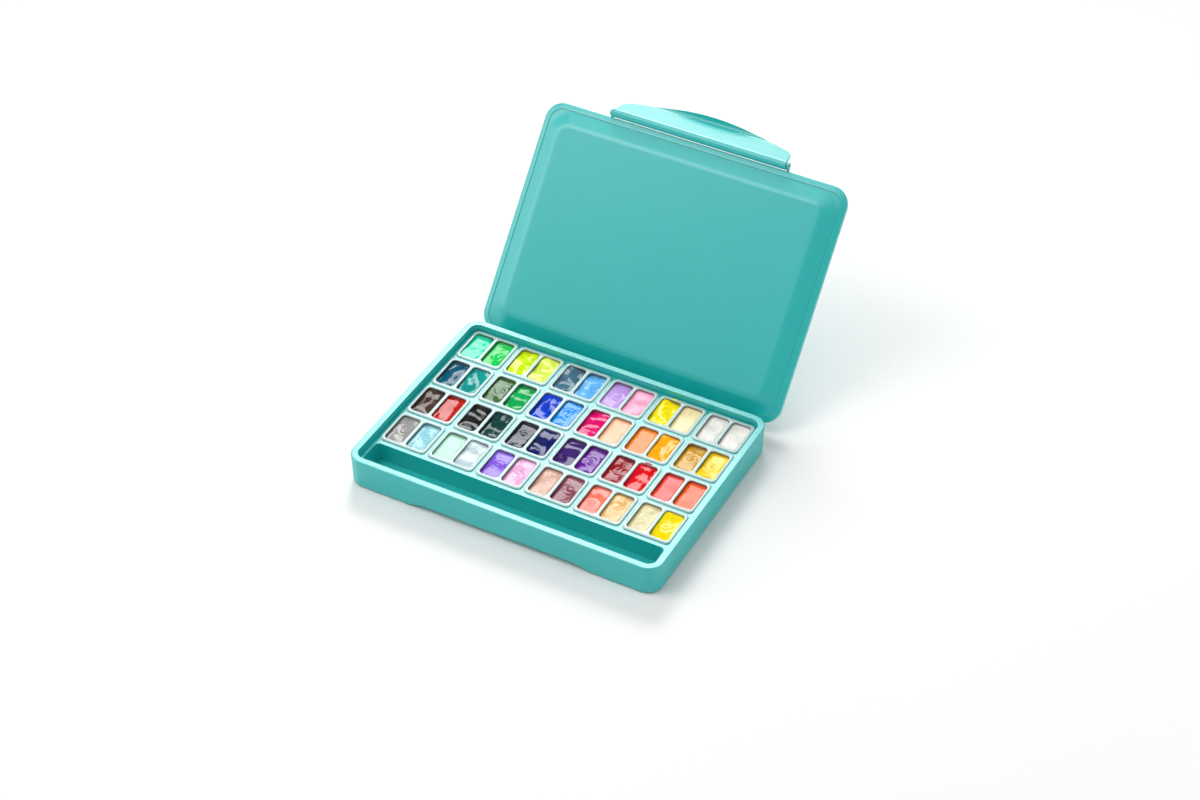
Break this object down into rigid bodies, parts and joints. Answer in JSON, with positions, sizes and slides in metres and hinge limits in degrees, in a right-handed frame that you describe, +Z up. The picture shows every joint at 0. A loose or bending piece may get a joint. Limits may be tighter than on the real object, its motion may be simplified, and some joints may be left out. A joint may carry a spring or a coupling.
{
  "type": "gouache paint set box",
  "caption": "Shallow hinged plastic paint box standing open, with a grid of lift-out twin paint cups, a brush trough and a wide folding latch handle on the lid.",
  "frame": {"origin": "on the table, under the middle of the base's plan outline", "axes": "+X along the long side, to the right of someone facing the front; +Y towards the lid hinges; +Z up"},
  "size_m": [0.27, 0.3598, 0.171],
  "materials": {
    "case_teal": "satin moulded plastic",
    "steel_pin": "plain drawn wire",
    "cup_clear": "frosted white plastic",
    "gouache_r1c1": "wet gouache, two related colours",
    "gouache_r1c2": "wet gouache, two related colours",
    "gouache_r1c3": "wet gouache, two related colours",
    "gouache_r1c4": "wet gouache, two related colours",
    "gouache_r1c5": "wet gouache, two related colours",
    "gouache_r1c6": "wet gouache, two related colours",
    "gouache_r2c1": "wet gouache, two related colours",
    "gouache_r2c2": "wet gouache, two related colours",
    "gouache_r2c3": "wet gouache, two related colours",
    "gouache_r2c4": "wet gouache, two related colours",
    "gouache_r2c5": "wet gouache, two related colours",
    "gouache_r2c6": "wet gouache, two related colours",
    "gouache_r3c1": "wet gouache, two related colours",
    "gouache_r3c2": "wet gouache, two related colours",
    "gouache_r3c3": "wet gouache, two related colours",
    "gouache_r3c4": "wet gouache, two related colours",
    "gouache_r3c5": "wet gouache, two related colours",
    "gouache_r3c6": "wet gouache, two related colours",
    "gouache_r4c1": "wet gouache, two related colours",
    "gouache_r4c2": "wet gouache, two related colours",
    "gouache_r4c3": "wet gouache, two related colours",
    "gouache_r4c4": "wet gouache, two related colours",
    "gouache_r4c5": "wet gouache, two related colours",
    "gouache_r4c6": "wet gouache, two related colours"
  },
  "bodies": {
    "base": {"base_shell": "case_teal", "paint_tray": "case_teal", "lid_hinge_pins": "steel_pin"},
    "lid": {"lid_outer_shell": "case_teal", "lid_inner_panel": "case_teal"},
    "latch": {"latch_handle": "case_teal", "latch_rod": "steel_pin"},
    "cup_r1c1": {"twin_cup_r1c1": "cup_clear", "paint_r1c1": "gouache_r1c1"},
    "cup_r1c2": {"twin_cup_r1c2": "cup_clear", "paint_r1c2": "gouache_r1c2"},
    "cup_r1c3": {"twin_cup_r1c3": "cup_clear", "paint_r1c3": "gouache_r1c3"},
    "cup_r1c4": {"twin_cup_r1c4": "cup_clear", "paint_r1c4": "gouache_r1c4"},
    "cup_r1c5": {"twin_cup_r1c5": "cup_clear", "paint_r1c5": "gouache_r1c5"},
    "cup_r1c6": {"twin_cup_r1c6": "cup_clear", "paint_r1c6": "gouache_r1c6"},
    "cup_r2c1": {"twin_cup_r2c1": "cup_clear", "paint_r2c1": "gouache_r2c1"},
    "cup_r2c2": {"twin_cup_r2c2": "cup_clear", "paint_r2c2": "gouache_r2c2"},
    "cup_r2c3": {"twin_cup_r2c3": "cup_clear", "paint_r2c3": "gouache_r2c3"},
    "cup_r2c4": {"twin_cup_r2c4": "cup_clear", "paint_r2c4": "gouache_r2c4"},
    "cup_r2c5": {"twin_cup_r2c5": "cup_clear", "paint_r2c5": "gouache_r2c5"},
    "cup_r2c6": {"twin_cup_r2c6": "cup_clear", "paint_r2c6": "gouache_r2c6"},
    "cup_r3c1": {"twin_cup_r3c1": "cup_clear", "paint_r3c1": "gouache_r3c1"},
    "cup_r3c2": {"twin_cup_r3c2": "cup_clear", "paint_r3c2": "gouache_r3c2"},
    "cup_r3c3": {"twin_cup_r3c3": "cup_clear", "paint_r3c3": "gouache_r3c3"},
    "cup_r3c4": {"twin_cup_r3c4": "cup_clear", "paint_r3c4": "gouache_r3c4"},
    "cup_r3c5": {"twin_cup_r3c5": "cup_clear", "paint_r3c5": "gouache_r3c5"},
    "cup_r3c6": {"twin_cup_r3c6": "cup_clear", "paint_r3c6": "gouache_r3c6"},
    "cup_r4c1": {"twin_cup_r4c1": "cup_clear", "paint_r4c1": "gouache_r4c1"},
    "cup_r4c2": {"twin_cup_r4c2": "cup_clear", "paint_r4c2": "gouache_r4c2"},
    "cup_r4c3": {"twin_cup_r4c3": "cup_clear", "paint_r4c3": "gouache_r4c3"},
    "cup_r4c4": {"twin_cup_r4c4": "cup_clear", "paint_r4c4": "gouache_r4c4"},
    "cup_r4c5": {"twin_cup_r4c5": "cup_clear", "paint_r4c5": "gouache_r4c5"},
    "cup_r4c6": {"twin_cup_r4c6": "cup_clear", "paint_r4c6": "gouache_r4c6"}
  },
  "joints": [
    {"name": "lid_hinge", "type": "hinge", "parent": "base", "child": "lid", "pos_m": [0, 0.0989, 0.0175], "axis": [-1, 0, 0], "range_deg": [-129.5, 0]},
    {"name": "latch_hinge", "type": "hinge", "parent": "lid", "child": "latch", "pos_m": [0, 0.23485, 0.16592], "axis": [-1, 0, 0], "range_deg": [-150.5, 0]},
    {"name": "cup_r1c1_lift", "type": "slide", "parent": "base", "child": "cup_r1c1", "axis": [0, 0, 1], "range_m": [0, 0.03]},
    {"name": "cup_r1c2_lift", "type": "slide", "parent": "base", "child": "cup_r1c2", "axis": [0, 0, 1], "range_m": [0, 0.03]},
    {"name": "cup_r1c3_lift", "type": "slide", "parent": "base", "child": "cup_r1c3", "axis": [0, 0, 1], "range_m": [0, 0.03]},
    {"name": "cup_r1c4_lift", "type": "slide", "parent": "base", "child": "cup_r1c4", "axis": [0, 0, 1], "range_m": [0, 0.03]},
    {"name": "cup_r1c5_lift", "type": "slide", "parent": "base", "child": "cup_r1c5", "axis": [0, 0, 1], "range_m": [0, 0.03]},
    {"name": "cup_r1c6_lift", "type": "slide", "parent": "base", "child": "cup_r1c6", "axis": [0, 0, 1], "range_m": [0, 0.03]},
    {"name": "cup_r2c1_lift", "type": "slide", "parent": "base", "child": "cup_r2c1", "axis": [0, 0, 1], "range_m": [0, 0.03]},
    {"name": "cup_r2c2_lift", "type": "slide", "parent": "base", "child": "cup_r2c2", "axis": [0, 0, 1], "range_m": [0, 0.03]},
    {"name": "cup_r2c3_lift", "type": "slide", "parent": "base", "child": "cup_r2c3", "axis": [0, 0, 1], "range_m": [0, 0.03]},
    {"name": "cup_r2c4_lift", "type": "slide", "parent": "base", "child": "cup_r2c4", "axis": [0, 0, 1], "range_m": [0, 0.03]},
    {"name": "cup_r2c5_lift", "type": "slide", "parent": "base", "child": "cup_r2c5", "axis": [0, 0, 1], "range_m": [0, 0.03]},
    {"name": "cup_r2c6_lift", "type": "slide", "parent": "base", "child": "cup_r2c6", "axis": [0, 0, 1], "range_m": [0, 0.03]},
    {"name": "cup_r3c1_lift", "type": "slide", "parent": "base", "child": "cup_r3c1", "axis": [0, 0, 1], "range_m": [0, 0.03]},
    {"name": "cup_r3c2_lift", "type": "slide", "parent": "base", "child": "cup_r3c2", "axis": [0, 0, 1], "range_m": [0, 0.03]},
    {"name": "cup_r3c3_lift", "type": "slide", "parent": "base", "child": "cup_r3c3", "axis": [0, 0, 1], "range_m": [0, 0.03]},
    {"name": "cup_r3c4_lift", "type": "slide", "parent": "base", "child": "cup_r3c4", "axis": [0, 0, 1], "range_m": [0, 0.03]},
    {"name": "cup_r3c5_lift", "type": "slide", "parent": "base", "child": "cup_r3c5", "axis": [0, 0, 1], "range_m": [0, 0.03]},
    {"name": "cup_r3c6_lift", "type": "slide", "parent": "base", "child": "cup_r3c6", "axis": [0, 0, 1], "range_m": [0, 0.03]},
    {"name": "cup_r4c1_lift", "type": "slide", "parent": "base", "child": "cup_r4c1", "axis": [0, 0, 1], "range_m": [0, 0.03]},
    {"name": "cup_r4c2_lift", "type": "slide", "parent": "base", "child": "cup_r4c2", "axis": [0, 0, 1], "range_m": [0, 0.03]},
    {"name": "cup_r4c3_lift", "type": "slide", "parent": "base", "child": "cup_r4c3", "axis": [0, 0, 1], "range_m": [0, 0.03]},
    {"name": "cup_r4c4_lift", "type": "slide", "parent": "base", "child": "cup_r4c4", "axis": [0, 0, 1], "range_m": [0, 0.03]},
    {"name": "cup_r4c5_lift", "type": "slide", "parent": "base", "child": "cup_r4c5", "axis": [0, 0, 1], "range_m": [0, 0.03]},
    {"name": "cup_r4c6_lift", "type": "slide", "parent": "base", "child": "cup_r4c6", "axis": [0, 0, 1], "range_m": [0, 0.03]}
  ]
}
